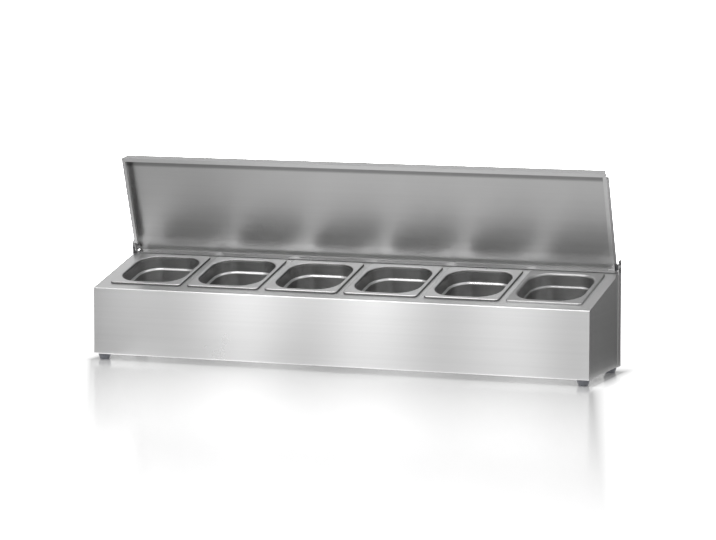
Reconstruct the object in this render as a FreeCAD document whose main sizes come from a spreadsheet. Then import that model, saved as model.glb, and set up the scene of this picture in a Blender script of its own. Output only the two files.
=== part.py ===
import FreeCAD, Part
import os
import re
import Sketcher
from FreeCAD import Placement, Rotation, Vector

# Ingredient holder: a long sheet-metal housing with a sloping deck, six drop-in pans and a hinged lid.
# X runs along the housing, Y from front to back, Z up. The origin is on the floor, below the middle.
# The lid is modelled open, as it stands at rest. Lengths are in millimetres and angles in degrees.

SIZES = [
    # Pans: they set the size of the housing
    ("pan_count", 6, "pans side by side"),
    ("pan_length", 162, "flange of one pan along the housing"),
    ("pan_width", 176, "flange of one pan from front to back"),
    ("pan_spacing", 14, "between the flanges of two pans"),
    ("pan_sheet", 0.8, "thickness of a pan"),
    ("pan_rim", 4, "top of the flange above the deck"),
    ("pan_gap", 0.3, "between the turned-down rim and the deck"),
    ("pan_corner", 9, "corner radius of the flange outline"),
    ("rim_round", 2.5, "outside radius of the turned-down rim"),
    ("mouth_side", 10, "flange edge to the wall of the well, at the two sides"),
    ("mouth_front", 14, "flange edge to the wall of the well, front and rear"),
    ("mouth_bend", 4, "radius under the bend from flange to wall"),
    ("well_corner", 44, "corner radius of the well at its mouth"),
    ("shoulder_depth", 28.5, "flange top to the stacking shoulder"),
    ("shoulder_step", 2, "width of the stacking shoulder"),
    ("shoulder_round", 0.9, "radius of the edges of the shoulder"),
    ("pan_depth", 100, "flange top to the underside of the pan"),
    ("pan_taper", 3, "slope of the wall below the shoulder"),
    ("floor_round", 15, "inside radius from wall to floor"),
    # Housing
    ("side_margin", 25, "end of the deck to the first flange"),
    ("front_margin", 27, "front bend to the flanges"),
    ("rear_margin", 27, "flanges to the rear edge of the deck"),
    ("deck_slope", 14.1, "angle of the deck"),
    ("front_height", 141, "bottom edge to the front bend"),
    ("sheet", 1, "thickness of the housing and the lid"),
    ("bend_inside", 1.5, "inside radius of the bends of the housing"),
    ("cutout_inset", 8, "flange edge to the edge of the cut-out below it"),
    ("base_flange", 32, "width of the flanges round the base"),
    ("rear_flange", 15, "depth of the flange at the back of the deck"),
    ("top_flange", 14, "width of the flange at the top of a side panel"),
    ("panel_gap", 0.5, "between sheets that do not touch"),
    ("rib_width", 20, "width of a channel under the deck"),
    ("rib_depth", 12, "depth of a channel under the deck"),
    ("rib_margin", 6, "ends of a channel to the ends of the deck"),
    # Lid
    ("lid_open", 85.5, "angle from the closed lid to the lid at rest"),
    ("pivot_back", 12, "rear edge of the deck to the hinge axis"),
    ("pivot_rise", 12, "hinge axis above the deck"),
    ("lid_end_gap", 6.5, "end of the housing to the lid"),
    ("lid_front_gap", 4.4, "front bend to the closed lid"),
    ("lid_clear", 0.5, "free edges of the closed lid above the deck"),
    ("lid_lip", 20, "depth of the front and side lips"),
    ("lid_return", 8, "width of the return flanges"),
    ("lid_rear", 10, "hinge axis to the outside of the rear lip"),
    ("rear_lip", 14, "depth of the rear lip"),
    ("rear_relief", 2.1, "end of the rear lip to the end of the lid"),
    ("rear_return_end", 16, "end of its return flange to the end of the lid"),
    ("front_relief", 7, "end of the front lip to the end of the lid, at the panel"),
    ("side_relief", 15, "end of a side lip to the front edge of the lid"),
    ("tail_relief", 3, "end of a side lip to the rear edge of the lid"),
    ("lid_bend", 1, "inside radius of the bends of the lid"),
    ("mitre_gap", 0.5, "between two return flanges at a corner"),
    ("return_stop", 14, "hinge axis to the end of the side return flanges"),
    # Ears and hinge
    ("ear_edge", 7.5, "hinge axis to the front edge of an ear"),
    ("ear_above", 15.3, "hinge axis to the top of an ear"),
    ("ear_corner", 5, "corner radius of an ear"),
    ("hinge_thread", 5, "diameter of a hinge screw"),
    ("hinge_head", 9.5, "diameter of its head"),
    ("hinge_head_height", 2.75, "height of its head"),
    ("hinge_head_round", 2.2, "radius of the edge of its head"),
    ("hinge_socket", 3, "across the flats of the socket in its head"),
    ("hinge_socket_depth", 1.6, "depth of that socket"),
    ("thread_end", 2, "end of a screw beyond its nut"),
    ("running_fit", 0.08, "radial clearance of the lid on its screws"),
    ("hole_clearance", 0.15, "radial clearance of every other hole"),
    ("face_gap", 0.3, "side play of the lid at each neighbour"),
    ("bush_diameter", 14, "diameter of a hinge bush"),
    ("washer_diameter", 10, "diameter of a hinge washer"),
    ("washer_height", 1, "thickness of a hinge washer"),
    ("nut_flats", 8, "across the flats of a nut"),
    ("nut_height", 4, "height of a nut"),
    # Feet
    ("foot_height", 12.5, "height of a foot"),
    ("foot_top", 28, "diameter of a foot at the top"),
    ("foot_bottom", 20, "diameter of a foot at the floor"),
    ("foot_round", 1.5, "radius at the floor"),
    ("foot_inset", 17, "middle of a foot to the faces of the housing"),
    ("foot_recess", 11, "diameter of the recess for the screw"),
    ("foot_recess_depth", 6, "depth of that recess"),
    ("foot_thread", 5, "diameter of a foot screw"),
    ("foot_head", 9, "diameter of its head"),
    ("foot_head_height", 3.5, "height of its head"),
    # Cuts
    ("overrun", 2, "how far every cut runs past its face"),
]

# What follows from the sizes
DERIVED = {
    "pitch": "pan_length + pan_spacing",
    "body_length": "pan_count * pan_length + (pan_count - 1) * pan_spacing + 2 * side_margin",
    "half": "body_length / 2",
    "deck_length": "front_margin + pan_width + rear_margin",
    "body_depth": "deck_length * cos(deck_slope)",
    "rear_height": "front_height + deck_length * sin(deck_slope)",
    "under_deck": "sheet / cos(deck_slope)",
    "bend_outside": "bend_inside + sheet",
    "well_half_length": "pan_length / 2 - mouth_side",
    "well_half_width": "pan_width / 2 - mouth_front",
    "shoulder_level": "pan_rim - shoulder_depth",
    "lid_half": "half - lid_end_gap",
    "lid_foot": "pivot_rise - lid_clear",
    "lid_top": "lid_lip - lid_foot",
    "lid_front": "deck_length - pivot_back - lid_front_gap",
    "pivot_y": "body_depth - pivot_back * cos(deck_slope) - pivot_rise * sin(deck_slope)",
    "pivot_z": "rear_height - pivot_back * sin(deck_slope) + pivot_rise * cos(deck_slope)",
    "nut_radius": "nut_flats / 2 / cos(30)",
    "base_level": "3 * sheet",
}

X_AXIS = Vector(1, 0, 0)
Y_AXIS = Vector(0, 1, 0)
Z_AXIS = Vector(0, 0, 1)
NEAR = 0.01

doc = FreeCAD.newDocument("IngredientHolder")
sheet = doc.addObject("Spreadsheet::Sheet", "Sizes")
for row, (alias, number, note) in enumerate(SIZES, start=1):
    sheet.set("A%d" % row, alias)
    sheet.set("B%d" % row, str(number))
    sheet.set("C%d" % row, note)
    sheet.setAlias("B%d" % row, alias)
doc.recompute()
ALIASES = {alias for alias, number, note in SIZES}


def tied(formula):
    """The formula with its sizes read from the sheet and what is derived written out."""
    def swap(match):
        word = match.group()
        if word in DERIVED:
            return "(" + tied(DERIVED[word]) + ")"
        return "Sizes." + word if word in ALIASES else word
    return re.sub(r"[a-z][a-z_]*", swap, formula)


def bind(thing, path, formula):
    thing.setExpression(path, tied(formula))


def value(formula):
    number = sheet.evalExpression(tied(formula))
    return float(getattr(number, "Value", number))


def seat(thing, x, y, z, turn=None, axis=X_AXIS):
    """Places a sub-part: x from the middle, y back from the front face, z up from the bottom edge."""
    if turn:
        thing.Placement = Placement(Vector(), Rotation(axis, 90))
        bind(thing, "Placement.Rotation.Angle", turn)
    bind(thing, "Placement.Base.x", x)
    bind(thing, "Placement.Base.y", f"{y} - body_depth / 2")
    bind(thing, "Placement.Base.z", f"{z} + foot_height")


def from_deck(along, rise):
    """A place given along the deck from its front bend and above it, as y and z of the housing."""
    y = f"(({along}) * cos(deck_slope) - ({rise}) * sin(deck_slope))"
    z = f"(front_height + ({along}) * sin(deck_slope) + ({rise}) * cos(deck_slope))"
    return y, z


# Sketches and features

def plane(body, role):
    return [part for part in body.Origin.OriginFeatures if part.Role == role][0]


def new_sketch(body, name, role, level, tilt=None):
    """A sketch at a level above one of the body's own planes, which may lean about X."""
    sketch = body.newObject("Sketcher::SketchObject", name)
    sketch.AttachmentSupport = (plane(body, role), [""])
    sketch.MapMode = "FlatFace"
    if tilt:
        sketch.AttachmentOffset = Placement(Vector(), Rotation(X_AXIS, 90))
        bind(sketch, "AttachmentOffset.Rotation.Angle", tilt)
    bind(sketch, "AttachmentOffset.Base.z", level)
    return sketch


def fix_point(sketch, geometry, point, x, y):
    for kind, formula in (("DistanceX", x), ("DistanceY", y)):
        rule = Sketcher.Constraint(kind, geometry, point, value(formula))
        index = sketch.addConstraint(rule)
        bind(sketch, "Constraints[%d]" % index, formula)


def outline(body, name, role, points, level="0"):
    """A closed outline of straight lines with each corner tied to the sheet."""
    sketch = new_sketch(body, name, role, level)
    corners = [Vector(value(x), value(y), 0) for x, y in points]
    count = len(corners)
    for index in range(count):
        sketch.addGeometry(Part.LineSegment(corners[index], corners[(index + 1) % count]))
    for index in range(count):
        sketch.addConstraint(Sketcher.Constraint("Coincident", index, 2, (index + 1) % count, 1))
    for index, (x, y) in enumerate(points):
        fix_point(sketch, index, 1, x, y)
    return sketch


def rectangle(body, name, role, low, high, level="0"):
    points = [(low[0], low[1]), (high[0], low[1]), (high[0], high[1]), (low[0], high[1])]
    return outline(body, name, role, points, level)


def round_rectangle(body, name, half_x, half_y, radius, level="0", centre=("0", "0"), tilt=None):
    """Four lines and four tangent arcs round a centre, over the XY plane."""
    sketch = new_sketch(body, name, "XY_Plane", level, tilt)
    ways = [(1, -1), (1, 1), (-1, 1), (-1, -1)]
    hubs = [(f"{centre[0]} + {sx} * ({half_x} - ({radius}))",
             f"{centre[1]} + {sy} * ({half_y} - ({radius}))") for sx, sy in ways]
    size = value(radius)
    spots = [Vector(value(x), value(y), 0) for x, y in hubs]
    out = [Vector(0, -size, 0), Vector(size, 0, 0), Vector(0, size, 0), Vector(-size, 0, 0)]
    for index in range(4):
        sketch.addGeometry(Part.LineSegment(spots[index - 1] + out[index], spots[index] + out[index]))
    for index in range(4):
        start = Rotation(Z_AXIS, 90 * index - 45).multVec(Vector(size, 0, 0))
        turned = [spots[index] + out[index], spots[index] + start, spots[index] + out[(index + 1) % 4]]
        sketch.addGeometry(Part.Arc(*turned))
    for index in range(4):
        sketch.addConstraint(Sketcher.Constraint("Tangent", index, 2, 4 + index, 1))
        sketch.addConstraint(Sketcher.Constraint("Tangent", 4 + index, 2, (index + 1) % 4, 1))
        fix_point(sketch, 4 + index, 3, *hubs[index])
    rule = sketch.addConstraint(Sketcher.Constraint("Radius", 4, size))
    bind(sketch, "Constraints[%d]" % rule, radius)
    for index in range(1, 4):
        sketch.addConstraint(Sketcher.Constraint("Equal", 4, 4 + index))
    return sketch


def circles(body, name, role, radius, centres, level="0"):
    sketch = new_sketch(body, name, role, level)
    for index, (x, y) in enumerate(centres):
        middle = Vector(value(x), value(y), 0)
        sketch.addGeometry(Part.Circle(middle, Z_AXIS, value(radius)))
        fix_point(sketch, index, 3, x, y)
        rule = sketch.addConstraint(Sketcher.Constraint("Radius", index, value(radius)))
        bind(sketch, "Constraints[%d]" % rule, radius)
    return sketch


def pad(body, name, sketch, length, back=False):
    feature = body.newObject("PartDesign::Pad", name)
    feature.Profile = sketch
    feature.Reversed = back
    bind(feature, "Length", length)
    return feature


def pocket(body, name, sketch, length, back=False, both_ways=False):
    doc.recompute()
    before = body.Shape.Volume
    feature = body.newObject("PartDesign::Pocket", name)
    feature.Profile = sketch
    feature.Reversed = back
    feature.Midplane = both_ways
    bind(feature, "Length", length)
    doc.recompute()
    if body.Shape.Volume >= before:
        raise SystemExit("%s cuts nothing" % name)
    return feature


def mirrored(body, name, features):
    feature = body.newObject("PartDesign::Mirrored", name)
    feature.Originals = features
    feature.MirrorPlane = (plane(body, "YZ_Plane"), [""])
    body.Tip = feature
    return feature


def round_edges(body, name, radius, wanted):
    """Rounds each edge of the body that the test accepts."""
    doc.recompute()
    base = body.Tip
    names = ["Edge%d" % number for number, edge in enumerate(base.Shape.Edges, start=1) if wanted(edge)]
    if not names:
        raise SystemExit("%s finds no edge" % name)
    feature = body.newObject("PartDesign::Fillet", name)
    feature.Base = (base, names)
    bind(feature, "Radius", radius)
    body.Tip = feature
    doc.recompute()
    if "Invalid" in feature.State:
        raise SystemExit("%s of %s fails" % (name, body.Label))
    return feature


def lies_at(edge, way, **places):
    """True for a straight edge along an axis whose middle has these coordinates, on either side in x."""
    if edge.Curve.TypeId != "Part::GeomLine":
        return False
    if abs(edge.tangentAt(edge.FirstParameter).dot(way)) < 1 - NEAR:
        return False
    spot = edge.valueAt((edge.FirstParameter + edge.LastParameter) / 2)
    spot.x = abs(spot.x)
    return all(abs(getattr(spot, axis) - value(formula)) < NEAR for axis, formula in places.items())


def lies_level(edge, formula):
    """True for an edge that lies in the plane at this height."""
    box = edge.BoundBox
    height = value(formula)
    return abs(box.ZMin - height) < NEAR and abs(box.ZMax - height) < NEAR


kept = []


def new_body(label, keep=True):
    body = doc.addObject("PartDesign::Body", label)
    if keep:
        kept.append(body)
    return body


def group(label, things):
    """Solids that are alike, held as one sub-part."""
    compound = doc.addObject("Part::Compound", label)
    compound.Links = things
    kept.append(compound)
    return compound


def mirror(thing, normal):
    """A copy on the other side of the housing's middle, along X or Y."""
    copy = doc.addObject("Part::Mirroring", thing.Name + "Mirror")
    copy.Source = thing
    copy.Normal = normal
    return copy


# Housing

REAR_FACE = "(body_depth - sheet)"


def under(y):
    """Height of the underside of the deck at a distance back from the front face."""
    return f"(front_height + ({y}) * tan(deck_slope) - under_deck)"


def foot_holes(body, sites):
    """Clearance holes for the foot screws through every sheet of the base."""
    marks = circles(body, "FootHoles", "XY_Plane", "foot_thread / 2 + hole_clearance", sites)
    pocket(body, "FootHoleCuts", marks, "2 * (base_level + overrun)", both_ways=True)


def make_front_and_deck():
    """One sheet: base flange, front panel, sloping deck with its cut-outs, and rear flange."""
    body = new_body("front_and_deck")
    inner = "(body_depth - 2 * sheet)"
    flange_end = f"{under(REAR_FACE)} + under_deck - rear_flange"
    corners = {
        "toe": ("0", "0"),
        "flange": ("base_flange", "0"),
        "flange top": ("base_flange", "sheet"),
        "inner toe": ("sheet", "sheet"),
        "inner front": ("sheet", under("sheet")),
        "inner rear": (inner, under(inner)),
        "inner end": (inner, flange_end),
        "end": (REAR_FACE, flange_end),
        "rear": (REAR_FACE, f"{under(REAR_FACE)} + under_deck"),
        "front": ("0", "front_height"),
    }
    profile = outline(body, "DeckProfile", "YZ_Plane", list(corners.values()), "-half")
    pad(body, "DeckSheet", profile, "body_length")
    for name, radius, bends in (("InnerBends", "bend_inside", ("inner toe", "inner front", "inner rear")),
                                ("OuterBends", "bend_outside", ("toe", "front", "rear"))):
        spots = [corners[bend] for bend in bends]
        round_edges(body, name, radius, lambda edge: any(lies_at(edge, X_AXIS, y=y, z=z) for y, z in spots))
    relief = rectangle(body, "CornerRelief", "XY_Plane", ("half - bend_inside", f"{REAR_FACE} - bend_inside"),
                       ("half + overrun", "body_depth"))
    notch = pocket(body, "RightRelief", relief, "2 * (rear_height + overrun)", both_ways=True)
    mirrored(body, "CornerReliefs", [notch])
    centre = ("-pitch * (pan_count - 1) / 2", "(front_margin + pan_width / 2)")
    half_length, half_width = "(pan_length / 2 - cutout_inset)", "(pan_width / 2 - cutout_inset)"
    corner = "well_corner + mouth_side - cutout_inset"
    hole = round_rectangle(body, "Cutout", half_length, half_width, corner,
                           "front_height", centre, "deck_slope")
    cut = pocket(body, "FirstCutout", hole, "2 * (sheet + overrun)", both_ways=True)
    row = body.newObject("PartDesign::LinearPattern", "Cutouts")
    row.Originals = [cut]
    row.Direction = (hole, ["H_Axis"])
    bind(row, "Length", "pitch * (pan_count - 1)")
    bind(row, "Occurrences", "pan_count")
    body.Tip = row
    foot_holes(body, [("half - foot_inset", "foot_inset"), ("foot_inset - half", "foot_inset")])
    seat(body, "0", "0", "0")


def make_side_panel(name, side):
    """An upright end sheet with a flange along its base and one under the deck, clear of the bends."""
    body = new_body(name)
    face = f"{side} * half"
    rear = "(body_depth - bend_outside)"
    notch = "2 * bend_inside"
    points = [
        ("bend_outside", "sheet"),
        (rear, "sheet"),
        (rear, f"{under(rear)} - {notch}"),
        (f"{rear} - {notch}", under(f"{rear} - {notch}")),
        ("bend_outside", under("bend_outside")),
        ("sheet", f"{under('sheet')} - bend_inside"),
        ("sheet", "bend_outside"),
    ]
    pad(body, "Wall", outline(body, "WallOutline", "YZ_Plane", points, face), "sheet", back=side > 0)
    inner = f"{side} * (half - base_flange)"
    base = rectangle(body, "BaseOutline", "XY_Plane", (inner, "bend_outside"), (face, rear), "sheet")
    pad(body, "BaseFlange", base, "sheet")
    start, end = "(bend_outside + panel_gap)", f"({rear} - {notch} - panel_gap)"
    strip = [(start, under(start)), (end, under(end)),
             (end, f"{under(end)} - under_deck"), (start, f"{under(start)} - under_deck")]
    flange = outline(body, "TopOutline", "YZ_Plane", strip, face)
    pad(body, "TopFlange", flange, "top_flange", back=side > 0)
    foot_holes(body, [(f"{side} * (half - foot_inset)", "foot_inset"),
                      (f"{side} * (half - foot_inset)", "body_depth - foot_inset")])
    seat(body, "0", "0", "0")


def make_back_panel():
    """The rear sheet; its side returns wrap the side panels and rise above the deck as the two ears."""
    body = new_body("back_panel")
    top = f"({under(REAR_FACE)} + under_deck)"
    width = "(half + sheet)"
    plate = rectangle(body, "PlateOutline", "YZ_Plane", (REAR_FACE, "0"), ("body_depth", top), f"-{width}")
    pad(body, "Plate", plate, f"2 * {width}")
    flange_front = "body_depth - base_flange"
    flange = rectangle(body, "BaseOutline", "XY_Plane", ("-half", flange_front), ("half", REAR_FACE))
    pad(body, "BaseFlange", flange, "sheet")
    front = "(pivot_y - ear_edge)"
    ear_rear = "(body_depth - bend_outside - panel_gap)"
    ear_top = "(pivot_z + ear_above)"
    points = [(front, "0"), ("body_depth", "0"), ("body_depth", top), (ear_rear, top),
              (ear_rear, ear_top), (front, ear_top)]
    ear = outline(body, "EarOutline", "YZ_Plane", points, width)
    ears = mirrored(body, "Ears", [pad(body, "Ear", ear, "sheet", back=True)])
    round_edges(body, "InnerBends", "bend_inside",
                lambda edge: lies_at(edge, Z_AXIS, x="half", y=REAR_FACE))
    round_edges(body, "OuterBends", "bend_outside",
                lambda edge: lies_at(edge, Z_AXIS, x=width, y="body_depth"))
    round_edges(body, "EarCorners", "ear_corner",
                lambda edge: lies_at(edge, X_AXIS, z=ear_top))
    bore = "hinge_thread / 2 + hole_clearance"
    marks = circles(body, "HingeHole", "YZ_Plane", bore, [("pivot_y", "pivot_z")])
    pocket(body, "HingeHoles", marks, f"2 * ({width} + overrun)", both_ways=True)
    foot_holes(body, [("half - foot_inset", "body_depth - foot_inset"),
                      ("foot_inset - half", "body_depth - foot_inset")])
    seat(body, "0", "0", "0")


def make_base_panel():
    """A plain sheet that lies on the base flanges and closes the housing."""
    body = new_body("base_panel")
    side = "(half - bend_outside - panel_gap)"
    front = "(bend_outside + panel_gap)"
    rear = "(body_depth - bend_outside - panel_gap)"
    level = "base_level - sheet"
    face = rectangle(body, "BaseOutline", "XY_Plane", (f"-{side}", front), (side, rear), level)
    pad(body, "BaseSheet", face, "sheet")
    foot_holes(body, [(x, y) for x in ("half - foot_inset", "foot_inset - half")
                      for y in ("foot_inset", "body_depth - foot_inset")])
    seat(body, "0", "0", "0")


def make_ribs():
    """A folded channel under each web of deck between two pans."""
    count = round(value("pan_count")) - 1
    for index in range(count):
        body = new_body("deck_rib_%d" % (index + 1))
        side = "rib_width / 2"
        low = "-sheet - rib_depth"
        points = [(f"-{side}", "-sheet"), (f"-{side}", low), (f"sheet - {side}", low),
                  (f"sheet - {side}", "-2 * sheet"), (f"{side} - sheet", "-2 * sheet"),
                  (f"{side} - sheet", low), (side, low), (side, "-sheet")]
        channel = outline(body, "ChannelOutline", "XZ_Plane", points)
        pad(body, "Channel", channel, "deck_length - 2 * rib_margin", back=True)
        x = f"pitch * ({index} - ({count} - 1) / 2)"
        seat(body, x, *from_deck("rib_margin", "0"), "deck_slope")


# Pans

def make_well(body, wall, level):
    """The two steps of a well, down from a level: the mouth and the tapered part below the shoulder."""
    half_length, half_width = f"(well_half_length - {wall})", f"(well_half_width - {wall})"
    corner = f"(well_corner - {wall})"
    shoulder = f"(shoulder_level + {wall})"
    floor = f"(pan_rim - pan_depth + {wall})"
    mouth = round_rectangle(body, "Mouth", half_length, half_width, corner, level)
    pad(body, "MouthWall", mouth, f"{level} - {shoulder}", back=True)
    lower = round_rectangle(body, "Lower", f"({half_length} - shoulder_step)",
                            f"({half_width} - shoulder_step)", f"({corner} - shoulder_step)", shoulder)
    wall_down = pad(body, "LowerWall", lower, f"{shoulder} - {floor}", back=True)
    bind(wall_down, "TaperAngle", "-pan_taper")
    round_edges(body, "Shoulder", "shoulder_round", lambda edge: lies_level(edge, shoulder))
    round_edges(body, "Floor", f"floor_round + pan_sheet - {wall}", lambda edge: lies_level(edge, floor))


def near_well(edge):
    """True for an edge no further out than the outside of the well."""
    box = edge.BoundBox
    reach_x, reach_y = max(box.XMax, -box.XMin), max(box.YMax, -box.YMin)
    return reach_x < value("well_half_length") + NEAR and reach_y < value("well_half_width") + NEAR


def make_pan_blank():
    """The outside of a pan: flange with its turned-down rim, and the well."""
    body = new_body("PanBlank", keep=False)
    half_length, half_width = "(pan_length / 2)", "(pan_width / 2)"
    flange = round_rectangle(body, "Flange", half_length, half_width, "pan_corner", "pan_gap")
    pad(body, "FlangeBlock", flange, "pan_rim - pan_gap")
    round_edges(body, "RimRound", "rim_round", lambda edge: lies_level(edge, "pan_rim"))
    hollow = round_rectangle(body, "UnderFlange", f"({half_length} - pan_sheet)",
                             f"({half_width} - pan_sheet)", "pan_corner - pan_sheet", "pan_rim - pan_sheet")
    pocket(body, "RimHollow", hollow, "pan_rim - pan_sheet - pan_gap + overrun")
    make_well(body, "0", "(pan_rim - pan_sheet / 2)")
    round_edges(body, "MouthBend", "mouth_bend",
                lambda edge: lies_level(edge, "pan_rim - pan_sheet") and near_well(edge))
    return body


def make_pan_hollow():
    """The inside of a pan, with the bend from the flange down into the well."""
    body = new_body("PanHollow", keep=False)
    half_length, half_width = "(pan_length / 2 - rim_round)", "(pan_width / 2 - rim_round)"
    lid = round_rectangle(body, "Above", half_length, half_width, "pan_corner", "pan_rim")
    pad(body, "AboveBlock", lid, "overrun")
    make_well(body, "pan_sheet", "pan_rim")
    round_edges(body, "MouthBend", "mouth_bend + pan_sheet",
                lambda edge: lies_level(edge, "pan_rim") and near_well(edge))
    return body


def make_pans():
    blank = make_pan_blank()
    hollow = make_pan_hollow()
    for index in range(round(value("pan_count"))):
        pan = doc.addObject("Part::Cut", "pan_%d" % (index + 1))
        pan.Base = blank
        pan.Tool = hollow
        kept.append(pan)
        x = f"pitch * ({index} - (pan_count - 1) / 2)"
        seat(pan, x, *from_deck("front_margin + pan_width / 2", "0"), "deck_slope")


# Lid, modelled closed about its hinge axis and then turned open

def make_lid():
    body = new_body("lid")
    low = "-lid_foot"
    front, rear = "-lid_front", "lid_rear"
    side_front, side_rear = f"({front} + side_relief)", f"({rear} - tail_relief)"
    lip_half, rear_half = "(lid_half - front_relief)", "(lid_half - rear_relief)"
    half_panel = [(lip_half, front), (lip_half, side_front), ("lid_half", side_front),
                  ("lid_half", side_rear), (rear_half, side_rear), (rear_half, rear)]
    points = half_panel + [(f"-{x}", y) for x, y in reversed(half_panel)]
    pad(body, "Panel", outline(body, "PanelOutline", "XY_Plane", points, "lid_top - sheet"), "sheet")
    below_bend = "lid_top - 2 * (lid_bend + sheet)"
    half_lip = [(lip_half, "lid_top"), (lip_half, below_bend), ("lid_half", low)]
    points = half_lip + [(f"-{x}", z) for x, z in reversed(half_lip)]
    lip = outline(body, "FrontLipOutline", "XZ_Plane", points, "lid_front")
    pad(body, "FrontLip", lip, "sheet", back=True)
    rear_low = "lid_top - rear_lip"
    corner = (f"-{rear_half}", f"{rear} - sheet")
    lip = rectangle(body, "RearLipOutline", "XY_Plane", corner, (rear_half, rear), rear_low)
    pad(body, "RearLip", lip, "rear_lip")
    return_half = "(lid_half - rear_return_end)"
    turned = rectangle(body, "RearReturnOutline", "XY_Plane", (f"-{return_half}", f"{rear} - lid_return"),
                       (return_half, rear), rear_low)
    pad(body, "RearReturn", turned, "sheet")
    inner = "(lid_half - lid_return)"
    half_return = [("lid_half", front), ("lid_half", f"{front} + sheet"),
                   (f"({inner} - mitre_gap)", f"{front} + lid_return")]
    points = half_return + [(f"-{x}", y) for x, y in reversed(half_return)]
    pad(body, "FrontReturn", outline(body, "FrontReturnOutline", "XY_Plane", points, low), "sheet")
    side = [(side_front, low), (side_rear, low), (side_rear, "lid_top"), (side_front, "lid_top")]
    lip = outline(body, "SideLipOutline", "YZ_Plane", side, "lid_half")
    side_lip = pad(body, "SideLip", lip, "sheet", back=True)
    turned = outline(body, "SideReturnOutline", "XY_Plane",
                     [("lid_half", f"{front} + sheet + mitre_gap"), (inner, f"{front} + lid_return"),
                      (inner, "-return_stop"), ("lid_half", "-return_stop")], low)
    side_return = pad(body, "SideReturn", turned, "sheet")
    mirrored(body, "SideLips", [side_lip, side_return])
    round_edges(body, "Tails", side_rear, lambda edge: lies_at(edge, X_AXIS, y=side_rear, z=low))
    deep = "lid_top - sheet"
    inside = [(X_AXIS, {"y": f"{front} + sheet", "z": deep}), (X_AXIS, {"y": f"{rear} - sheet", "z": deep}),
              (Y_AXIS, {"x": "lid_half - sheet", "z": deep})]
    round_edges(body, "InnerBends", "lid_bend",
                lambda edge: any(lies_at(edge, way, **spot) for way, spot in inside))
    outer = [(X_AXIS, {"y": front, "z": "lid_top"}), (X_AXIS, {"y": rear, "z": "lid_top"}),
             (Y_AXIS, {"x": "lid_half", "z": "lid_top"})]
    round_edges(body, "OuterBends", "lid_bend + sheet",
                lambda edge: any(lies_at(edge, way, **spot) for way, spot in outer))
    marks = circles(body, "HingeHole", "YZ_Plane", "hinge_thread / 2 + running_fit", [("0", "0")])
    pocket(body, "HingeHoles", marks, "2 * (lid_half + overrun)", both_ways=True)
    seat(body, "0", "pivot_y", "pivot_z", "deck_slope - lid_open")


# Hinge hardware and feet

def rod(name, diameter, length):
    cylinder = doc.addObject("Part::Cylinder", name)
    bind(cylinder, "Radius", f"({diameter}) / 2")
    bind(cylinder, "Height", length)
    return cylinder


def ring(name, blank, bore, length):
    """A blank with a bore through it along its own axis."""
    hole = rod(name + "Bore", bore, f"{length} + 2 * overrun")
    bind(hole, "Placement.Base.z", "-overrun")
    cut = doc.addObject("Part::Cut", name)
    cut.Base = blank
    cut.Tool = hole
    return cut


def hexagon(name, length):
    prism = doc.addObject("Part::Prism", name)
    prism.Polygon = 6
    bind(prism, "Circumradius", "nut_radius")
    bind(prism, "Height", length)
    return prism


def make_screw(name, thread, length, head, head_height, head_round):
    """A screw whose shank runs down from the seat of its head."""
    body = new_body(name, keep=False)
    radius, head_radius = f"({thread} / 2)", f"({head} / 2)"
    points = [("0", f"-({length})"), (radius, f"-({length})"), (radius, "0"), (head_radius, "0"),
              (head_radius, head_height), ("0", head_height)]
    profile = outline(body, "Profile", "XZ_Plane", points)
    turned = body.newObject("PartDesign::Revolution", "Turned")
    turned.Profile = profile
    turned.ReferenceAxis = (profile, ["V_Axis"])
    turned.Angle = 360
    round_edges(body, "HeadRound", head_round, lambda edge: lies_level(edge, head_height))
    reach = "hinge_socket / 2 / cos(30)"
    corners = [(f"{reach} * cos({60 * k})", f"{reach} * sin({60 * k})") for k in range(6)]
    socket = outline(body, "Socket", "XY_Plane", corners, head_height)
    pocket(body, "SocketCut", socket, "hinge_socket_depth")
    return body


def make_hinge():
    """Each screw runs in through its ear, a bush, the lid, a washer and a locking nut."""
    lip = "(lid_half - sheet)"
    washer = f"({lip} - face_gap - washer_height)"
    nut = f"({washer} - nut_height)"
    bore = "hinge_thread + 2 * hole_clearance"
    screw = make_screw("HingeScrew", "hinge_thread", f"half + sheet - {nut} + thread_end", "hinge_head",
                       "hinge_head_height", "hinge_head_round")
    bush_length = "(lid_end_gap - face_gap)"
    bush = ring("HingeBush", rod("BushBlank", "bush_diameter", bush_length), bore, bush_length)
    disc = rod("WasherBlank", "washer_diameter", "washer_height")
    disc = ring("HingeWasher", disc, bore, "washer_height")
    lock = ring("HingeNut", hexagon("HingeNutBlank", "nut_height"), bore, "nut_height")
    for label, thing, x in (("hinge_screws", screw, "(half + sheet)"),
                            ("hinge_bushes", bush, "(half - lid_end_gap + face_gap)"),
                            ("hinge_washers", disc, washer),
                            ("hinge_nuts", lock, nut)):
        seat(thing, x, "pivot_y", "pivot_z", "90", Y_AXIS)
        group(label, [thing, mirror(thing, X_AXIS)])


def make_foot(name, x, y):
    """A short tapered foot, recessed below for the head of its screw."""
    body = new_body(name)
    bore = "(foot_thread / 2 + hole_clearance)"
    recess = "(foot_recess / 2)"
    points = [(bore, "foot_height"), (bore, "foot_recess_depth"), (recess, "foot_recess_depth"),
              (recess, "0"), ("foot_bottom / 2", "0"), ("foot_top / 2", "foot_height")]
    profile = outline(body, "FootProfile", "XZ_Plane", points)
    turned = body.newObject("PartDesign::Revolution", "Turned")
    turned.Profile = profile
    turned.ReferenceAxis = (profile, ["V_Axis"])
    turned.Angle = 360
    doc.recompute()
    rim = value("foot_bottom / 2")
    round_edges(body, "FootRound", "foot_round",
                lambda edge: lies_level(edge, "0") and abs(edge.BoundBox.XMax - rim) < NEAR)
    seat(body, x, y, "-foot_height")


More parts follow.
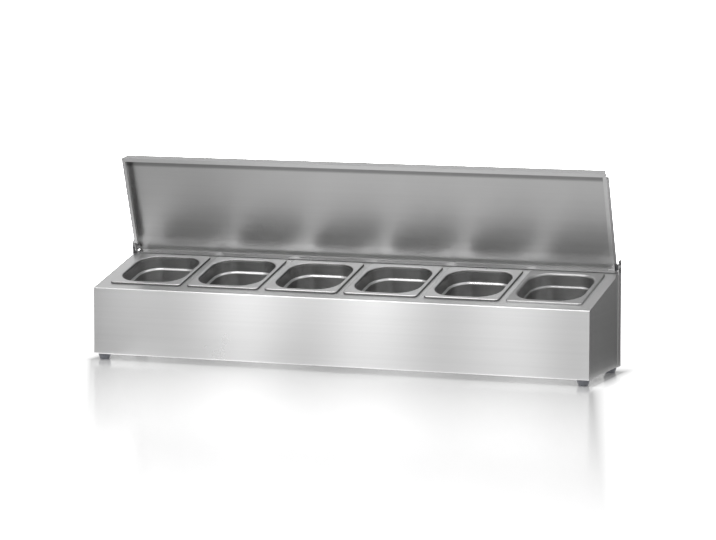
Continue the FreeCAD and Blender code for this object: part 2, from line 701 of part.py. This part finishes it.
def make_feet():
    near, far = "foot_inset", "(body_depth - foot_inset)"
    right, left = "(half - foot_inset)", "(foot_inset - half)"
    for name, x, y in (("front_right_foot", right, near), ("front_left_foot", left, near),
                       ("rear_right_foot", right, far), ("rear_left_foot", left, far)):
        make_foot(name, x, y)
    length = "foot_height - foot_recess_depth + base_level + nut_height + thread_end"
    screw = make_screw("FootScrew", "foot_thread", length, "foot_head", "foot_head_height",
                       "foot_head_height / 2")
    seat(screw, right, near, "foot_recess_depth - foot_height", "180")
    bore = "foot_thread + 2 * hole_clearance"
    lock = ring("FootNut", hexagon("FootNutBlank", "nut_height"), bore, "nut_height")
    seat(lock, right, near, "base_level")
    for label, thing in (("foot_screws", screw), ("foot_nuts", lock)):
        across = mirror(thing, X_AXIS)
        group(label, [thing, across, mirror(thing, Y_AXIS), mirror(across, Y_AXIS)])


make_front_and_deck()
make_side_panel("left_side_panel", -1)
make_side_panel("right_side_panel", 1)
make_back_panel()
make_base_panel()
make_ribs()
make_pans()
make_lid()
make_hinge()
make_feet()
doc.recompute()

# Nothing is written unless the whole document is sound
for thing in doc.Objects:
    if {"Invalid", "Error"} & set(thing.State):
        raise SystemExit("%s failed: %s" % (thing.Label, thing.State))
for thing in kept:
    if thing.Shape.isNull() or not thing.Shape.isValid() or not thing.Shape.Solids:
        raise SystemExit("%s has no sound shape" % thing.Label)

os.makedirs("parts", exist_ok=True)
for thing in kept:
    thing.Shape.exportStep("parts/%s.step" % thing.Label)
    box = thing.Shape.BoundBox
    print("%-18s solids %d  volume %9.0f mm3  x %7.1f to %7.1f  y %7.1f to %7.1f  z %6.1f to %6.1f" % (
        thing.Label, len(thing.Shape.Solids), thing.Shape.Volume, box.XMin, box.XMax, box.YMin, box.YMax,
        box.ZMin, box.ZMax))
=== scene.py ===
from math import radians, cos

import bmesh
import bpy
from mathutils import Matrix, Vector


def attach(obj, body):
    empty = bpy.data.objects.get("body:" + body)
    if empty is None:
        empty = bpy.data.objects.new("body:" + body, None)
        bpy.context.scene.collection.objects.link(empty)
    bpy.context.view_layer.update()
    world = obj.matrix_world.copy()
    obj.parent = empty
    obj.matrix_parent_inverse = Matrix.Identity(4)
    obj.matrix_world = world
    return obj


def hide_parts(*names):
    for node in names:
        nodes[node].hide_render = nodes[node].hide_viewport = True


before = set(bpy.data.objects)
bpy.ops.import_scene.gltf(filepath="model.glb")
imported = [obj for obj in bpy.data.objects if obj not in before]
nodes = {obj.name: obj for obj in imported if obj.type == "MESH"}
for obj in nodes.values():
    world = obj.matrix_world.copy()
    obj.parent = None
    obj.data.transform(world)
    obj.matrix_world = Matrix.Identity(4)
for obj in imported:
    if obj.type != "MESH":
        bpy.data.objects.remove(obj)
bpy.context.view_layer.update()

# Ingredient holder: brushed housing with a sloping deck, six drop-in pans and an open lid.
# X runs along the holder, Y from front to back, Z up. Lengths are in metres.

mm = 0.001

# Camera

cameraView = {
    "place": (2.4532, -6.4154, 1.0068),
    "pitch": 6.692,      # degrees below level
    "yaw": 20.855,       # degrees left of straight back
    "lens": 166.93,
    "sensor": 36,
    "clip": (0.1, 100),
}


def addCamera(view):
    data = bpy.data.cameras.new("photoCamera")
    data.sensor_width = view["sensor"]
    data.lens = view["lens"]
    data.clip_start, data.clip_end = view["clip"]
    camera = bpy.data.objects.new("photoCamera", data)
    camera.location = view["place"]
    camera.rotation_euler = (radians(90 - view["pitch"]), 0, radians(view["yaw"]))
    bpy.context.scene.collection.objects.link(camera)
    bpy.context.scene.camera = camera


addCamera(cameraView)
print("camera set")

# Nodes of a material or of the world

nodeStep = 180       # between neighbours in the editor


def nodeTree(owner):
    owner.use_nodes = True
    tree = owner.node_tree
    tree.nodes.clear()
    return tree


def addNode(tree, kind, feeds=None, **settings):   # a feed is a value or an output of another node
    node = tree.nodes.new(kind)
    node.location.x = nodeStep * len(tree.nodes)
    for name, setting in settings.items():
        setattr(node, name, setting)
    for socket, feed in (feeds or {}).items():
        if isinstance(feed, bpy.types.NodeSocket):
            tree.links.new(feed, node.inputs[socket])
        else:
            node.inputs[socket].default_value = feed
    return node


def addMath(tree, operation, *feeds):
    return addNode(tree, "ShaderNodeMath", dict(enumerate(feeds)), operation=operation).outputs[0]


def addVectorMath(tree, operation, *feeds):
    node = addNode(tree, "ShaderNodeVectorMath", dict(enumerate(feeds)), operation=operation)
    return node.outputs["Value" if operation in ("LENGTH", "DOT_PRODUCT") else "Vector"]


def addRange(tree, value, span, ends=(0, 1), **settings):
    names = ("Value", "From Min", "From Max", "To Min", "To Max")
    feeds = dict(zip(names, (value,) + span + ends))
    return addNode(tree, "ShaderNodeMapRange", feeds, **settings).outputs[0]


def addNoise(tree, place, scale, detail):
    feeds = {"Vector": place, "Scale": scale, "Detail": detail}
    return addNode(tree, "ShaderNodeTexNoise", feeds).outputs["Fac"]


def mirroredRay(tree, seen):   # one for a ray that comes from metal or through a clear piece
    return addMath(tree, "MAXIMUM", seen["Is Glossy Ray"], seen["Is Transmission Ray"])


def grey(tone):
    return (tone, tone, tone, 1)


# Studio

studio = {
    "floorSize": 24,
    "floorColour": 0.55,
    "floorRough": 0.16,
    "floorShine": 0.5,
    "floorSeen": 0.46,           # glow that the camera sees on the floor a metre in front
    "floorMirrored": 0.78,       # and that the metal sees
    "footprint": (0.552, 0.112), # half of the length and of the depth that lie in painted shade
    "shadeLean": 0.39,           # how far the painted shade on the floor runs to the right on its way forwards
    "shadeNarrow": 0.155,        # share by which it narrows in a metre of that way
    "shadeFade": (60, 1, 20),    # at the ends, in front and behind
    "fadeSpan": (-0.1, 0.1),     # where the fade turns from in front to behind
    "fadePower": 0.6,
    "skySeen": 1.4,              # white past the far edge of the floor
    "skyFill": 0.60,             # light that the pale room gives to matt surfaces
    "level": 0.90,               # what the metal mirrors level with it
    "overhead": 0.66,            # and straight up
    "skySpan": (0.05, 0.9),
    "darkSide": 0.19,            # and back to the right, where the room is dark
    "darkWay": (0.5, 0.866, 0.0),
    "darkSpan": (0.74, 0.95),
}


# painted shade on the floor: the glow grows with the way from the holder, slowly in front, faster behind and
# at its ends, so the floor is darker near the holder
def glowPastPaintedShade(tree, look):
    halfLength, halfDepth = look["footprint"]
    fadeEnds, fadeFront, fadeRear = look["shadeFade"]
    place = addNode(tree, "ShaderNodeTexCoord").outputs["Object"]
    axes = addNode(tree, "ShaderNodeSeparateXYZ", {0: place}).outputs

    # in front of the holder the painted shade leans to the right and narrows
    ahead = addMath(tree, "MINIMUM", addMath(tree, "ADD", axes["Y"], halfDepth), 0)
    leaning = addMath(tree, "MULTIPLY_ADD", ahead, look["shadeLean"], axes["X"])
    narrow = addMath(tree, "MULTIPLY_ADD", ahead, -look["shadeNarrow"], 1)
    scaled = addMath(tree, "MULTIPLY", leaning, narrow)

    spot = addNode(tree, "ShaderNodeCombineXYZ", {"X": scaled, "Y": axes["Y"]}).outputs[0]
    size = addVectorMath(tree, "ABSOLUTE", spot)
    beyond = addVectorMath(tree, "SUBTRACT", size, (halfLength, halfDepth, 0))
    outside = addVectorMath(tree, "MAXIMUM", beyond, (0, 0, 0))
    fade = addRange(tree, axes["Y"], look["fadeSpan"], (fadeFront, fadeRear))
    fades = addNode(tree, "ShaderNodeCombineXYZ", {"X": fadeEnds, "Y": fade}).outputs[0]
    way = addVectorMath(tree, "LENGTH", addVectorMath(tree, "MULTIPLY", outside, fades))
    return addMath(tree, "MULTIPLY", addMath(tree, "POWER", way, look["fadePower"]), look["floorSeen"])


def makeFloor(look):
    bpy.ops.mesh.primitive_plane_add(size=look["floorSize"], location=(0, 0, 0))
    floor = bpy.context.object
    floor.name = "studioFloor"
    material = bpy.data.materials.new("paleFloor")
    tree = nodeTree(material)
    shader = addNode(tree, "ShaderNodeBsdfPrincipled", {
        "Base Color": grey(look["floorColour"]),
        "Roughness": look["floorRough"],
        "Specular IOR Level": look["floorShine"],
    })
    seen = addNode(tree, "ShaderNodeLightPath").outputs
    forMetal = addMath(tree, "MULTIPLY", mirroredRay(tree, seen), look["floorMirrored"])
    strength = addMath(tree, "MULTIPLY_ADD", seen["Is Camera Ray"], glowPastPaintedShade(tree, look), forMetal)
    glow = addNode(tree, "ShaderNodeEmission", {"Strength": strength})
    total = addNode(tree, "ShaderNodeAddShader", {0: shader.outputs[0], 1: glow.outputs[0]})
    addNode(tree, "ShaderNodeOutputMaterial", {"Surface": total.outputs[0]})
    floor.data.materials.append(material)


def makeRoom(look):
    world = bpy.data.worlds.new("paleRoom")
    bpy.context.scene.world = world
    tree = nodeTree(world)
    way = addNode(tree, "ShaderNodeTexCoord").outputs["Generated"]
    height = addNode(tree, "ShaderNodeSeparateXYZ", {0: way}).outputs["Z"]
    level = addRange(tree, height, look["skySpan"], (look["level"], look["overhead"]))
    turned = addVectorMath(tree, "DOT_PRODUCT", way, look["darkWay"])
    shade = addRange(tree, turned, look["darkSpan"], interpolation_type="SMOOTHSTEP")
    mirrored = addNode(tree, "ShaderNodeMix", {"Factor": shade, "A": level, "B": look["darkSide"]}).outputs[0]

    forMetal = addNode(tree, "ShaderNodeBackground", {"Strength": mirrored}).outputs[0]
    forMatt = addNode(tree, "ShaderNodeBackground", {"Strength": look["skyFill"]}).outputs[0]
    forCamera = addNode(tree, "ShaderNodeBackground", {"Strength": look["skySeen"]}).outputs[0]
    seen = addNode(tree, "ShaderNodeLightPath").outputs
    mirrors = mirroredRay(tree, seen)
    unseen = addNode(tree, "ShaderNodeMixShader", {0: mirrors, 1: forMatt, 2: forMetal}).outputs[0]
    total = addNode(tree, "ShaderNodeMixShader", {0: seen["Is Camera Ray"], 1: unseen, 2: forCamera})
    addNode(tree, "ShaderNodeOutputWorld", {"Surface": total.outputs[0]})


lamps = {
    "overheadSoftbox": {"place": (-0.9, -2.2, 2.4), "aim": (0, 0, 0.2), "size": (2.6, 0.7), "power": 22},
    "frontSoftbox": {"place": (-2.1, -3.4, 1.0), "aim": (-0.4, 0, 0.2), "size": (2.2, 0.5), "power": 9},
    "topSoftbox": {"place": (0.3, -0.35, 2.2), "aim": (0.3, -0.35, 0.2), "size": (3.0, 1.2), "power": 30},
}

# grey flags out of the picture that only mirrors show: they lie on the floor, and one stands
flags = {
    "rightFlag": {"low": (0.57, -0.25, 0.0005), "high": (3.0, 3.4, 0.0005), "grey": 0.165},
    "leftFlag": {"low": (-3.0, -2.6, 0.0005), "high": (-0.88, -0.2, 0.0005), "grey": 0.22},
    "nearFlag": {"low": (0.50, -2.6, 0.0005), "high": (3.0, -0.5, 0.0005), "grey": 0.34},
    "middleFlag": {"low": (-0.06, -2.6, 0.0005), "high": (0.50, -0.6, 0.0005), "grey": 0.78},
    "wideFlag": {"low": (-0.88, -2.6, 0.0005), "high": (-0.06, -0.6, 0.0005), "grey": 1.28},
    "lowFlag": {"low": (-0.50, -0.60, 0.0004), "high": (0.60, -0.14, 0.0004), "grey": 0.80},
    "lowLeftFlag": {"low": (-0.84, -0.60, 0.0004), "high": (-0.50, -0.14, 0.0004), "grey": 0.45},
    "tallFlag": {"low": (-3.0, -1.1, 0), "high": (-0.90, -1.1, 0.9), "grey": 0.22},
}


def flagMaterial(name, tone):   # clear from its back, so the floor doesn't mirror the underside
    material = bpy.data.materials.new(name)
    tree = nodeTree(material)
    backfacing = addNode(tree, "ShaderNodeNewGeometry").outputs["Backfacing"]
    shader = addNode(tree, "ShaderNodeEmission", {"Color": grey(tone)}).outputs[0]
    clear = addNode(tree, "ShaderNodeBsdfTransparent").outputs[0]
    either = addNode(tree, "ShaderNodeMixShader", {0: backfacing, 1: shader, 2: clear})
    addNode(tree, "ShaderNodeOutputMaterial", {"Surface": either.outputs[0]})
    return material


def setFlags(plans):
    for name, plan in plans.items():
        low, high = Vector(plan["low"]), Vector(plan["high"])
        standing = low.y == high.y
        turn = radians(-90) if standing else 0
        bpy.ops.mesh.primitive_plane_add(size=1, location=(low + high) / 2, rotation=(turn, 0, 0))
        flag = bpy.context.object
        flag.name = name
        flag.scale = (high.x - low.x, (high.z - low.z) if standing else (high.y - low.y), 1)
        flag.data.materials.append(flagMaterial(name + "Grey", plan["grey"]))
        flag.visible_camera = flag.visible_diffuse = flag.visible_shadow = flag.visible_transmission = False


def addLamps(plans):
    for name, plan in plans.items():
        data = bpy.data.lights.new(name, "AREA")
        data.shape = "RECTANGLE"
        data.size, data.size_y = plan["size"]
        data.energy = plan["power"]
        lamp = bpy.data.objects.new(name, data)
        lamp.location = plan["place"]
        away = Vector(plan["place"]) - Vector(plan["aim"])
        lamp.rotation_euler = away.to_track_quat("Z", "Y").to_euler()
        bpy.context.scene.collection.objects.link(lamp)


makeFloor(studio)
makeRoom(studio)
addLamps(lamps)
setFlags(flags)
bpy.context.scene.view_settings.view_transform = "Standard"
print("studio set")

# Steel

deckSlope = radians(14.1)
deckMiddle = 181.516 * mm        # height of the deck half-way back
deckLevel = deckMiddle * cos(deckSlope)
lidLean = radians(18.6)          # how far the open lid leans forward
lidPlane = 0.161525              # hinge axis, measured square to the open lid
lidFoot, lidHead = 0.165835, 0.389435    # rear lip and front lip of the open lid, along it

# Each painted band of light and shade runs square to a face that is turned about X: from its first to its
# last place, with the tone at shares of the way. A band with "within" counts where that second run has
# reached its end.
# painted shade on the deck's top face: a strip along its rear edge, under the lid's rear lip, falls to 0.45
# of the tone
deckPaintedShade = {
    "turn": -deckSlope, "axis": "Y", "span": (0.1369, 0.1649),
    "stops": ((0, 1), (0.25, 0.45), (1, 0.45)),
    "within": {"turn": -deckSlope, "axis": "Z", "span": (deckLevel - 1.2 * mm, deckLevel - 0.4 * mm)},
}
# painted shade on the side panels: darker towards the rear, down to 0.78 of the tone
sidePaintedShade = {
    "turn": 0, "axis": "Y", "span": (-0.11, 0.11),
    "stops": ((0, 1), (0.3, 0.98), (1, 0.78)),
}
# painted light and shade on the lid's panel: lighter near the rear lip, and painted shade falling to 0.44 in
# the fold at the front lip
lidPaintedLightAndShade = {
    "turn": -lidLean, "axis": "Z", "span": (lidFoot, lidHead),
    "stops": ((0, 1), (0.115, 1), (0.16, 0.86), (0.879, 0.86), (0.900, 0.44), (1, 0.44)),
    "within": {"turn": -lidLean, "axis": "Y", "span": (lidPlane + 6.6 * mm, lidPlane + 7.3 * mm)},
}
# painted light and shade on the pans, by depth: painted shade in the well, a painted highlight on the
# stacking shoulder, and painted shade on the turned-down rim just above the deck
panPaintedLightAndShade = {
    "turn": -deckSlope, "axis": "Z", "span": (deckLevel - 97 * mm, deckLevel + 5 * mm),
    "stops": ((0, 0.60), (0.676, 0.56), (0.692, 1), (0.731, 1), (0.743, 0.54), (0.950, 0.52),
              (0.957, 0.18), (0.977, 0.18), (0.989, 1)),
}
steel = {
    "housing": {"colour": 0.80, "rough": 0.30, "grain": "X", "drawn": 0.65, "paintedWaves": 0.22, "paintedBand": deckPaintedShade},
    "side": {"colour": 0.64, "rough": 0.29, "grain": "Y", "drawn": 0.45, "paintedBand": sidePaintedShade},
    # the lid's steel is given a lower tone than the housing's as painted shade
    "lid": {"colour": 0.60, "rough": 0.36, "grain": "X", "drawn": 0.35, "paintedBand": lidPaintedLightAndShade},
    "pan": {"colour": 0.80, "rough": 0.30, "grain": "X", "drawn": 0.35, "dull": 0.16, "paintedBand": panPaintedLightAndShade},
    "screw": {"colour": 0.44, "rough": 0.36, "grain": "X", "drawn": 0.0},
}
# the grain runs a little off its axis, so that no face is square to it
along = {"X": (1, 0.04, 0.06), "Y": (0.04, 1, 0.06)}

brush = {
    "streaks": (160.0, 1.6),     # to the metre, across the grain and along it
    "streakDetail": 2,
    "streakSpan": (0.25, 0.75),
    "toneShares": (0.975, 1.015),
    "clouds": 5,
    "cloudDetail": 3,
    "cloudSpan": (0.3, 0.7),
    "roughSpread": (-0.03, 0.04),
    "bump": {"Strength": 0.15, "Distance": 0.04 * mm},
    "wave": {"Scale": 1.027, "Distortion": 1.2, "Detail": 1, "Detail Scale": 2.5, "Phase Offset": 7.5},
}


def shareAlong(tree, place, run):
    turned = addNode(tree, "ShaderNodeMapping", {"Vector": place, "Rotation": (run["turn"], 0, 0)})
    axes = addNode(tree, "ShaderNodeSeparateXYZ", {0: turned.outputs[0]}).outputs
    return addRange(tree, axes[run["axis"]], run["span"])


def paintedToneAlong(tree, place, paintedBand):
    ramp = addNode(tree, "ShaderNodeValToRGB", {0: shareAlong(tree, place, paintedBand)})
    elements = ramp.color_ramp.elements
    for number, (share, tone) in enumerate(paintedBand["stops"]):
        element = elements[number] if number < 2 else elements.new(share)    # a new ramp has two
        element.position, element.color = share, grey(tone)
    if "within" not in paintedBand:
        return ramp.outputs[0]
    mask = shareAlong(tree, place, paintedBand["within"])
    return addNode(tree, "ShaderNodeMix", {"Factor": mask, "A": 1, "B": ramp.outputs[0]}).outputs[0]


def brushedSteel(name, look):
    material = bpy.data.materials.new(name)
    tree = nodeTree(material)
    place = addNode(tree, "ShaderNodeTexCoord").outputs["Object"]
    across, withGrain = brush["streaks"]
    scale = [across] * 3
    scale["XYZ".index(look["grain"])] = withGrain
    drawnOut = addNode(tree, "ShaderNodeMapping", {"Vector": place, "Scale": scale}).outputs[0]
    streaks = addNoise(tree, drawnOut, 1, brush["streakDetail"])
    clouds = addNoise(tree, place, brush["clouds"], brush["cloudDetail"])
    tones = tuple(look["colour"] * share for share in brush["toneShares"])
    roughs = tuple(look["rough"] + more for more in brush["roughSpread"])
    tone = addRange(tree, streaks, brush["streakSpan"], tones)
    rough = addRange(tree, clouds, brush["cloudSpan"], roughs)

    if "paintedWaves" in look:      # painted light and shade in soft bands across the sheet, the way a long sheet that is never quite flat takes the light
        feeds = dict(brush["wave"], Vector=place)
        paintedWaves = addNode(tree, "ShaderNodeTexWave", feeds, bands_direction="X").outputs["Fac"]
        tone = addMath(tree, "MULTIPLY", tone, addRange(tree, paintedWaves, (0, 1), (1 - look["paintedWaves"], 1)))
    # painted light and shade, multiplied into the tone
    if "paintedBand" in look:
        paintedTone = paintedToneAlong(tree, place, look["paintedBand"])
        tone = addMath(tree, "MULTIPLY", tone, paintedTone)
    if "dull" in look:       # rougher where it is darker
        rough = addMath(tree, "MULTIPLY_ADD", addMath(tree, "SUBTRACT", 1, paintedTone), look["dull"], rough)

    feeds = {"Metallic": 1, "Anisotropic": look["drawn"], "Base Color": tone, "Roughness": rough}
    if "paintedWaves" not in look:
        feeds["Normal"] = addNode(tree, "ShaderNodeBump", dict(brush["bump"], Height=streaks)).outputs[0]
    if look["drawn"]:
        facing = addNode(tree, "ShaderNodeNewGeometry").outputs["Normal"]
        feeds["Tangent"] = addVectorMath(tree, "CROSS_PRODUCT", facing, along[look["grain"]])
    shader = addNode(tree, "ShaderNodeBsdfPrincipled", feeds)
    addNode(tree, "ShaderNodeOutputMaterial", {"Surface": shader.outputs[0]})
    return material


housingSteel = brushedSteel("housingSteel", steel["housing"])
sideSteel = brushedSteel("sideSteel", steel["side"])
lidSteel = brushedSteel("lidSteel", steel["lid"])
panSteel = brushedSteel("panSteel", steel["pan"])
screwSteel = brushedSteel("screwSteel", steel["screw"])

# Rubber and nylon

skins = {
    "foot": {"dark": (0.15, 0.155, 0.175), "light": (0.20, 0.205, 0.23), "rough": 0.46},
    "bush": {"dark": (0.06, 0.06, 0.065), "light": (0.09, 0.09, 0.095), "rough": 0.45},
}
moulded = {
    "mottle": 90,
    "mottleDetail": 4,
    "pores": 1800,
    "poreDetail": 2,
    "roughSpread": 0.08,
    "bump": {"Strength": 0.3, "Distance": 0.06 * mm},
}


def mouldedSkin(name, look):
    material = bpy.data.materials.new(name)
    tree = nodeTree(material)
    place = addNode(tree, "ShaderNodeTexCoord").outputs["Object"]
    mottle = addNoise(tree, place, moulded["mottle"], moulded["mottleDetail"])
    pores = addNoise(tree, place, moulded["pores"], moulded["poreDetail"])
    colours = {"Factor": mottle, 6: look["dark"] + (1,), 7: look["light"] + (1,)}    # colours A and B
    tone = addNode(tree, "ShaderNodeMix", colours, data_type="RGBA").outputs[2]
    roughs = (look["rough"] - moulded["roughSpread"], look["rough"] + moulded["roughSpread"])
    bump = addNode(tree, "ShaderNodeBump", dict(moulded["bump"], Height=pores))
    shader = addNode(tree, "ShaderNodeBsdfPrincipled", {
        "Base Color": tone,
        "Roughness": addRange(tree, mottle, (0, 1), roughs),
        "Normal": bump.outputs[0],
    })
    addNode(tree, "ShaderNodeOutputMaterial", {"Surface": shader.outputs[0]})
    return material


ribCount = 5
finishes = {
    "front_and_deck": housingSteel,
    "back_panel": housingSteel,
    "base_panel": housingSteel,
    "left_side_panel": sideSteel,
    "right_side_panel": sideSteel,
    "lid": lidSteel,
    "hinge_screws": screwSteel,
    "hinge_washers": screwSteel,
    "hinge_nuts": screwSteel,
    "foot_screws": screwSteel,
    "foot_nuts": screwSteel,
    "hinge_bushes": mouldedSkin("bushNylon", skins["bush"]),
}
footRubber = mouldedSkin("footRubber", skins["foot"])
for corner in ("front_left", "front_right", "rear_left", "rear_right"):
    finishes[corner + "_foot"] = footRubber
for number in range(ribCount):
    finishes["deck_rib_%d" % (number + 1)] = housingSteel
for name, finish in finishes.items():
    for slot in nodes[name].material_slots:
        slot.material = finish
print("steel done")

# Work on a mesh as by hand

slack = 0.02 * mm


def startPlane(name, halfX, halfY, level):
    bpy.ops.object.select_all(action="DESELECT")
    bpy.ops.mesh.primitive_plane_add(size=2, location=(0, 0, level))
    piece = bpy.context.object
    piece.name = name
    piece.scale = (halfX, halfY, 1)
    bpy.ops.object.transform_apply(location=True, rotation=True, scale=True)
    bpy.ops.object.mode_set(mode="EDIT")
    return piece


def pick(piece, kind, test):   # selects the edges or faces that pass, and nothing else
    mesh = bmesh.from_edit_mesh(piece.data)
    bpy.context.tool_settings.mesh_select_mode = (False, kind == "EDGE", kind == "FACE")
    for group in (mesh.verts, mesh.edges, mesh.faces):
        for part in group:
            part.select = False
    for part in (mesh.edges if kind == "EDGE" else mesh.faces):
        if test(part):
            part.select = True
    mesh.select_flush_mode()
    bmesh.update_edit_mesh(piece.data)


def bothEnds(test):
    return lambda edge: all(test(vert.co) for vert in edge.verts)


def near(a, b):
    return abs(a - b) < slack


def choose(piece):
    bpy.ops.object.select_all(action="DESELECT")
    piece.select_set(True)
    bpy.context.view_layer.objects.active = piece


def addModifier(piece, kind, **settings):
    modifier = piece.modifiers.new(kind.title(), kind)
    for name, setting in settings.items():
        setattr(modifier, name, setting)
    bpy.ops.object.modifier_apply(modifier=modifier.name)


# Pans: one is drawn from a flat blank, then copied into its six places

pan = {
    "count": 6,
    "pitch": 176 * mm,
    "half": (81 * mm, 88 * mm),  # of the flange, along and across the row
    "corner": 9 * mm,
    "rim": 4 * mm,               # top of the flange above the deck
    "rimFoot": 0.3 * mm,         # free edge of the flange above the deck
    "well": (70.2 * mm, 73.2 * mm),
    "wellCorner": 43.2 * mm,
    "shoulder": 23.0 * mm,       # straight wall down to the stacking shoulder
    "step": (2.4 * mm, 2.8 * mm),
    "floor": 95.2 * mm,          # inside floor below the deck
    "taper": 3.4 * mm,
    "sheet": 0.8 * mm,
    "arc": 16,                   # segments round a corner
    "rimBend": (2.5 * mm, 6),    # a bend's offset and segments
    "mouthBend": (4.8 * mm, 8),
    "stepBend": (1.6 * mm, 4),
    "floorBend": (14 * mm, 9),
    "spare": 0.6 * mm,           # flat that is left beside a bend
    "weld": 0.01 * mm,
    "smoothUnder": 50,
    "normalWeight": 80,
}


def fromOutline(co, half, corner):   # how far a point lies outside a rounded rectangle, from above
    beyondX = max(abs(co.x) - half[0] + corner, 0)
    beyondY = max(abs(co.y) - half[1] + corner, 0)
    return (beyondX ** 2 + beyondY ** 2) ** 0.5 - corner


def drawPan(plan):
    rim, shoulder, floor = plan["rim"], -plan["shoulder"], -plan["floor"]
    stepIn, stepDown = plan["step"]
    halfWell, halfFlange = plan["well"], plan["half"]
    onRim = bothEnds(lambda co: near(co.z, rim) and near(fromOutline(co, halfFlange, plan["corner"]), 0))
    onMouth = bothEnds(lambda co: near(co.z, rim) and near(fromOutline(co, halfWell, plan["wellCorner"]), 0))
    onStep = bothEnds(lambda co: near(co.z, shoulder) or near(co.z, shoulder - stepDown))
    onFloor = bothEnds(lambda co: near(co.z, floor))

    # the well, down from a ring of flange round its mouth
    ring = plan["mouthBend"][0] + plan["spare"]
    piece = startPlane("panBlank", halfWell[0] + ring, halfWell[1] + ring, rim)
    bpy.ops.mesh.bevel(offset=plan["wellCorner"] + ring, segments=plan["arc"], affect="VERTICES")
    pick(piece, "FACE", lambda face: True)
    bpy.ops.mesh.inset(thickness=ring)
    bpy.ops.mesh.extrude_region_move(TRANSFORM_OT_translate={"value": (0, 0, shoulder - rim)})
    bpy.ops.mesh.inset(thickness=stepIn, depth=-stepDown)
    bpy.ops.mesh.inset(thickness=plan["taper"], depth=floor - shoulder + stepDown)

    # the outline of the flange with its turned-down rim
    pick(piece, "FACE", lambda face: False)
    bpy.ops.mesh.primitive_plane_add(size=2, location=(0, 0, rim))
    bpy.ops.transform.resize(value=halfFlange + (1,), center_override=(0, 0, 0))
    bpy.ops.mesh.bevel(offset=plan["corner"], segments=plan["arc"], affect="VERTICES")
    pick(piece, "EDGE", onRim)
    bpy.ops.mesh.extrude_edges_move(TRANSFORM_OT_translate={"value": (0, 0, plan["rimFoot"] - rim)})
    pick(piece, "FACE", lambda face: near((face.calc_center_median() - Vector((0, 0, rim))).length, 0))
    bpy.ops.mesh.inset(thickness=plan["rimBend"][0] + plan["spare"])
    bpy.ops.mesh.delete(type="ONLY_FACE")

    # the flat between the two
    level = bothEnds(lambda co: near(co.z, rim))
    pick(piece, "EDGE", lambda edge: edge.is_boundary and level(edge))
    bpy.ops.mesh.bridge_edge_loops()

    bends = {"rimBend": onRim, "mouthBend": onMouth, "stepBend": onStep, "floorBend": onFloor}
    for bend, test in bends.items():
        offset, segments = plan[bend]
        pick(piece, "EDGE", test)
        bpy.ops.mesh.bevel(offset=offset, segments=segments, affect="EDGES")
    bpy.ops.mesh.select_all(action="SELECT")
    bpy.ops.mesh.remove_doubles(threshold=plan["weld"])
    bpy.ops.mesh.normals_make_consistent(inside=False)
    bpy.ops.object.mode_set(mode="OBJECT")
    choose(piece)
    lowest = min(piece.data.polygons, key=lambda face: face.center.z)
    if lowest.normal.z < 0:
        piece.data.flip_normals()
    addModifier(piece, "SOLIDIFY", thickness=plan["sheet"], offset=-1)
    bpy.ops.object.shade_smooth_by_angle(angle=radians(plan["smoothUnder"]))
    addModifier(piece, "WEIGHTED_NORMAL", keep_sharp=True, weight=plan["normalWeight"])
    return piece


blank = drawPan(pan)
for number in range(pan["count"]):
    drawn = blank
    if number < pan["count"] - 1:
        choose(blank)
        bpy.ops.object.duplicate(linked=False)
        drawn = bpy.context.object
    drawn.name = "drawn_pan_%d" % (number + 1)
    drawn.rotation_euler = (deckSlope, 0, 0)
    drawn.location = (pan["pitch"] * (number - (pan["count"] - 1) / 2), 0, deckMiddle)
    bpy.ops.object.transform_apply(location=True, rotation=True, scale=True)
    drawn.data.materials.clear()
    drawn.data.materials.append(panSteel)
    node = "pan_%d" % (number + 1)
    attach(drawn, node)
    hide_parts(node)
print("pans drawn")
